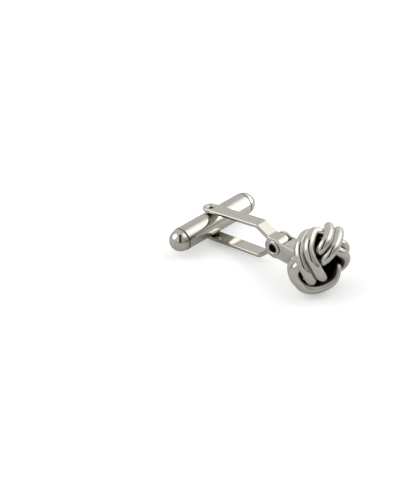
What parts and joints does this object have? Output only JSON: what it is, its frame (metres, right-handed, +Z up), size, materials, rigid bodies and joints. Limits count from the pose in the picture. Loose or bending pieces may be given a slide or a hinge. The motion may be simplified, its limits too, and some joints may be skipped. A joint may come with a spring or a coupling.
{
  "type": "knot cufflink",
  "caption": "Cufflink with a woven knot of doubled wire, a forked lug with a riveted swing arm of folded strip, and a round toggle bar that swivels between the arm's tips.",
  "frame": {"origin": "on the surface it rests on, under the middle of its length and width", "axes": "+Y from the knot to the toggle bar, +X along the toggle bar, +Z up"},
  "size_m": [0.0198, 0.0294, 0.0119],
  "materials": {
    "knot_silver": "polished",
    "rivet_silver": "polished",
    "strip_silver": "polished",
    "toggle_silver": "polished"
  },
  "bodies": {
    "head": {"knot_head": "knot_silver", "hinge_rivet": "rivet_silver"},
    "arm": {"arm_frame": "strip_silver", "swivel_pin": "rivet_silver"},
    "toggle": {"toggle_bar": "toggle_silver"}
  },
  "joints": [
    {"name": "arm_swing", "type": "hinge", "parent": "head", "child": "arm", "pos_m": [0, -0.00226, 0.00483], "axis": [1, 0, 0], "range_deg": [-75, 95]},
    {"name": "toggle_swivel", "type": "hinge", "parent": "arm", "child": "toggle", "pos_m": [0, 0.01268, 0.00299], "axis": [0, 0.1224, 0.9925], "continuous": true}
  ]
}
